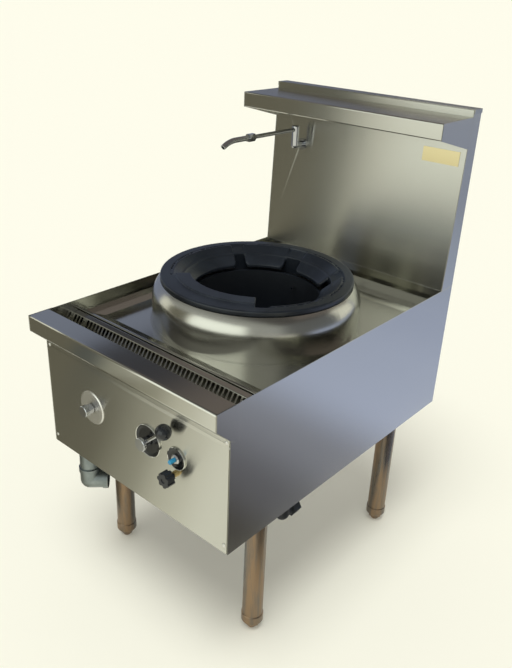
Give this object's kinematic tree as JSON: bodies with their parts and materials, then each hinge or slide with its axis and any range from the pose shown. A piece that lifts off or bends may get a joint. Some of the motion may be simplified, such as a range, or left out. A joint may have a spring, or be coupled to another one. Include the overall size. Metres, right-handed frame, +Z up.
{
  "type": "wok range",
  "caption": "Free-standing gas wok range: cast-iron wok ring on a spun collar, front gutter, lever and knob controls, splashback with shelf and swing faucet, tube legs.",
  "frame": {"origin": "on the floor, under the axis of the wok ring, which is the bottom centre of the object's box", "axes": "+Z up, the cook stands at -Y, +X to the cook's right"},
  "size_m": [0.603, 0.9, 1.1885],
  "materials": {
    "stainless": "satin, finely brushed",
    "leg_steel": "polished tube",
    "cast_iron": "black, slightly glossy paint",
    "galvanised": "hot-dip zinc, matt",
    "refractory": "fired ceramic",
    "brass": "raw",
    "plate_brass": "satin, blank",
    "black_enamel": "glossy black with a bright rim",
    "black_plastic": "glossy black",
    "blue_plastic": "glossy blue",
    "chrome": "bright plated",
    "pipe_steel": "drawn tube"
  },
  "bodies": {
    "cabinet": {"side_panel_left": "stainless", "side_panel_right": "stainless", "front_stiles": "stainless", "front_panel": "stainless", "panel_screws": "stainless", "rear_panel": "stainless", "front_ledge": "stainless", "ledge_caps": "stainless", "gutter_trough": "stainless", "gutter_rail": "stainless", "deck_pan": "stainless", "burner_collar": "stainless", "insulation_ring": "refractory", "chamber_liner": "cast_iron", "flame_probe": "chrome", "burner_bearer": "pipe_steel", "burner_body": "cast_iron", "burner_jets": "brass", "pilot_burner": "brass", "pilot_tube": "pipe_steel", "pilot_valve_body": "brass", "gas_inlet": "cast_iron", "gas_supply_pipe": "pipe_steel", "gas_valve_body": "brass", "burner_feed_pipe": "pipe_steel", "gas_valve_dish": "black_enamel", "button_dish": "black_enamel", "igniter_body": "chrome", "tap_escutcheon": "chrome", "tap_valve_body": "brass", "water_inlet": "brass", "water_supply_pipe": "pipe_steel", "faucet_feed_pipe": "pipe_steel", "faucet_body": "chrome", "splash_front": "stainless", "splash_casing": "stainless", "splash_cap": "stainless", "shelf_tray": "stainless", "shelf_gussets": "stainless", "blank_plate": "plate_brass", "chassis_rail_front": "stainless", "chassis_rail_rear": "stainless", "legs": "leg_steel", "leg_sleeves": "leg_steel", "drain_stub": "galvanised", "drain_elbow": "galvanised"},
    "wok_ring": {"wok_ring": "cast_iron"},
    "strainer": {"gutter_strainer": "stainless"},
    "tap_head": {"tap_head": "chrome"},
    "gas_lever": {"gas_valve_head": "chrome", "gas_lever": "chrome", "gas_lever_ball": "black_plastic"},
    "igniter_button": {"igniter_button": "blue_plastic"},
    "star_knob": {"star_knob": "black_plastic"},
    "faucet_arm": {"faucet_arm": "chrome"},
    "faucet_nozzle": {"faucet_nozzle": "chrome"},
    "foot_front_left": {"foot_front_left": "leg_steel"},
    "foot_front_right": {"foot_front_right": "leg_steel"},
    "foot_rear_left": {"foot_rear_left": "leg_steel"},
    "foot_rear_right": {"foot_rear_right": "leg_steel"}
  },
  "joints": [
    {"name": "wok_ring_lift", "type": "slide", "parent": "cabinet", "child": "wok_ring", "axis": [0, 0, 1], "range_m": [0, 0.2]},
    {"name": "strainer_lift", "type": "slide", "parent": "cabinet", "child": "strainer", "axis": [0, 0, 1], "range_m": [0, 0.12]},
    {"name": "tap_turn", "type": "hinge", "parent": "cabinet", "child": "tap_head", "pos_m": [-0.134, -0.41, 0.54], "axis": [0, -1, 0], "range_deg": [0, 270]},
    {"name": "gas_lever_turn", "type": "hinge", "parent": "cabinet", "child": "gas_lever", "pos_m": [0.062, -0.41, 0.5435], "axis": [0, -1, 0], "range_deg": [0, 90]},
    {"name": "button_press", "type": "slide", "parent": "cabinet", "child": "igniter_button", "axis": [0, 1, 0], "range_m": [0, 0.006], "stiffness_N_per_m": 400},
    {"name": "star_knob_turn", "type": "hinge", "parent": "cabinet", "child": "star_knob", "pos_m": [0.148, -0.41, 0.502], "axis": [0, -1, 0], "range_deg": [0, 270]},
    {"name": "faucet_swing", "type": "hinge", "parent": "cabinet", "child": "faucet_arm", "pos_m": [-0.198, 0.37083, 1.074], "axis": [0, 0, 1], "range_deg": [-80, 80]},
    {"name": "nozzle_swivel", "type": "hinge", "parent": "faucet_arm", "child": "faucet_nozzle", "pos_m": [-0.198, 0.18083, 1.074], "axis": [0, 1, 0], "range_deg": [-90, 90]},
    {"name": "foot_front_left_level", "type": "slide", "parent": "cabinet", "child": "foot_front_left", "axis": [0, 0, 1], "range_m": [-0.04, 0]},
    {"name": "foot_front_right_level", "type": "slide", "parent": "cabinet", "child": "foot_front_right", "axis": [0, 0, 1], "range_m": [-0.04, 0]},
    {"name": "foot_rear_left_level", "type": "slide", "parent": "cabinet", "child": "foot_rear_left", "axis": [0, 0, 1], "range_m": [-0.04, 0]},
    {"name": "foot_rear_right_level", "type": "slide", "parent": "cabinet", "child": "foot_rear_right", "axis": [0, 0, 1], "range_m": [-0.04, 0]}
  ]
}
